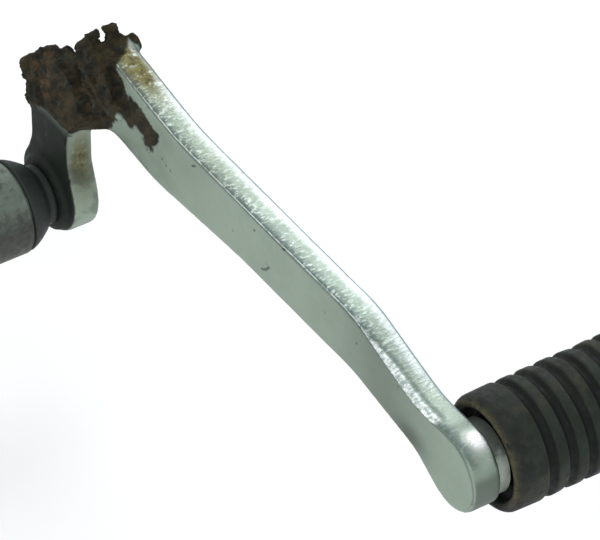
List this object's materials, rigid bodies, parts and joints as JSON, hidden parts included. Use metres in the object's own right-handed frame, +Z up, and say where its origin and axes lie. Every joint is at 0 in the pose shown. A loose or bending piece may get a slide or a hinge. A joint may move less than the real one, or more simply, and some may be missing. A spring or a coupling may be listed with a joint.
{
  "type": "gear shift lever",
  "caption": "Foot gear shift lever: flat bell crank on a pivot bolt, ribbed rubber toe peg on the long arm, booted ball joint on the short arm.",
  "frame": {"origin": "on the pivot axis, where the pivot bolt's shoulder seats on the motorcycle's frame", "axes": "+X along the long arm towards the toe peg, +Y along the pivot axis towards the frame, +Z up"},
  "size_m": [0.1746, 0.07, 0.0628],
  "materials": {
    "plated_steel": "worn bright plating on forged steel, satin, with rust at the elbow",
    "pivot_steel": "corroded steel",
    "washer_steel": "zinc plated steel",
    "washer_plated": "dulled plating",
    "bush_bronze": "sintered bronze, oiled",
    "seal_rubber": "black nitrile",
    "pin_steel": "plain steel",
    "ribbed_rubber": "moulded black rubber, dusty",
    "stud_steel": "hardened steel",
    "nut_steel": "zinc plated",
    "housing_steel": "dull grey phosphated steel",
    "seat_plastic": "natural acetal",
    "cap_steel": "dull grey steel",
    "boot_rubber": "black moulded rubber",
    "ring_steel": "spring steel"
  },
  "bodies": {
    "pivot": {"pivot_bolt": "pivot_steel", "pivot_washer_outer": "pivot_steel", "pivot_washer_inner": "washer_steel", "pivot_spring_washer": "washer_steel"},
    "lever": {"lever_arm": "plated_steel", "pivot_bush": "bush_bronze", "pivot_seal_outer": "seal_rubber", "pivot_seal_inner": "seal_rubber", "toe_pin": "pin_steel", "toe_washer": "washer_plated", "toe_rubber": "ribbed_rubber", "ball_stud": "stud_steel", "stud_nut": "nut_steel"},
    "boot_neck": {"boot_neck_ring": "ring_steel"},
    "joint": {"joint_housing": "housing_steel", "ball_seat": "seat_plastic", "preload_spring": "washer_steel", "end_cap": "cap_steel", "cap_snap_ring": "cap_steel", "boot_base_ring": "ring_steel", "dust_boot": "boot_rubber"}
  },
  "joints": [
    {"name": "lever_pivot", "type": "hinge", "parent": "pivot", "child": "lever", "pos_m": [0, -0.0051, 0], "axis": [0, 1, 0], "range_deg": [-14, 14], "stiffness_Nm_per_rad": 6},
    {"name": "joint_swivel", "type": "hinge", "parent": "lever", "child": "boot_neck", "pos_m": [-0.0114, -0.022, -0.0337], "axis": [0, 1, 0], "continuous": true},
    {"name": "joint_tilt", "type": "hinge", "parent": "boot_neck", "child": "joint", "pos_m": [-0.0114, -0.022, -0.0337], "axis": [0, 0, 1], "range_deg": [-15, 15], "deforming": ["dust_boot"]}
  ]
}
